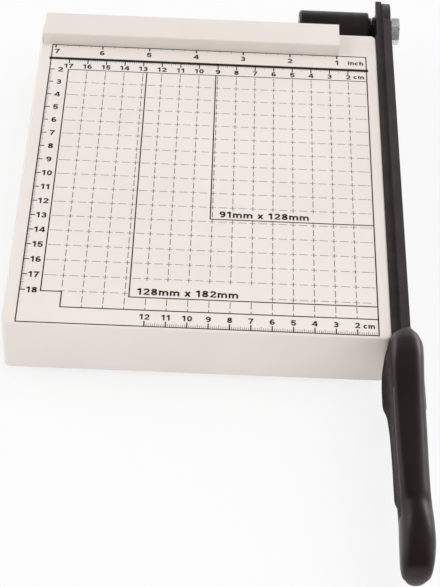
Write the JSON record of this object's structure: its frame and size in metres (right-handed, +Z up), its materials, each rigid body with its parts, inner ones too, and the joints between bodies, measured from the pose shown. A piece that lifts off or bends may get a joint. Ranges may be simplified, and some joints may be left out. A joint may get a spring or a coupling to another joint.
{
  "type": "paper cutter",
  "caption": "Desk paper cutter: folded steel board with a printed scale, a paper stop, a fixed bed knife and a lever knife arm that swings on a sprung pivot.",
  "frame": {"origin": "under the middle of the whole closed cutter, on the surface it stands on", "axes": "+X towards the knife arm's side, +Y from the handle towards the paper stop and the pivot, +Z up"},
  "size_m": [0.1986, 0.3776, 0.0444],
  "materials": {
    "cream_paint": "smooth semi-gloss cream paint on sheet steel",
    "black_paint": "satin black paint on steel bar",
    "grip_plastic": "glossy brown-black moulded plastic",
    "zinc_steel": "bright zinc-plated steel",
    "black_steel": "blackened oiled steel",
    "foot_rubber": "matt dark rubber"
  },
  "bodies": {
    "base": {"base_board": "cream_paint", "paper_stop": "cream_paint", "stop_screws": "zinc_steel", "bed_knife": "black_paint", "bed_knife_screws": "zinc_steel", "bed_knife_washers": "zinc_steel", "bed_knife_nuts": "zinc_steel", "foot_front_left": "foot_rubber", "foot_front_right": "foot_rubber", "foot_rear_left": "foot_rubber", "foot_rear_right": "foot_rubber"},
    "arm": {"knife_arm": "black_paint", "handle": "grip_plastic", "handle_screws": "zinc_steel", "pivot_bolt": "zinc_steel", "head_washer": "zinc_steel", "seat_washer": "black_steel", "pivot_spring": "black_steel", "spring_cup": "black_paint", "lock_nut": "zinc_steel"}
  },
  "joints": [
    {"name": "arm_swing", "type": "hinge", "parent": "base", "child": "arm", "pos_m": [0.08739, 0.1736, 0.0254], "axis": [-1, 0, 0], "range_deg": [0, 85]}
  ]
}
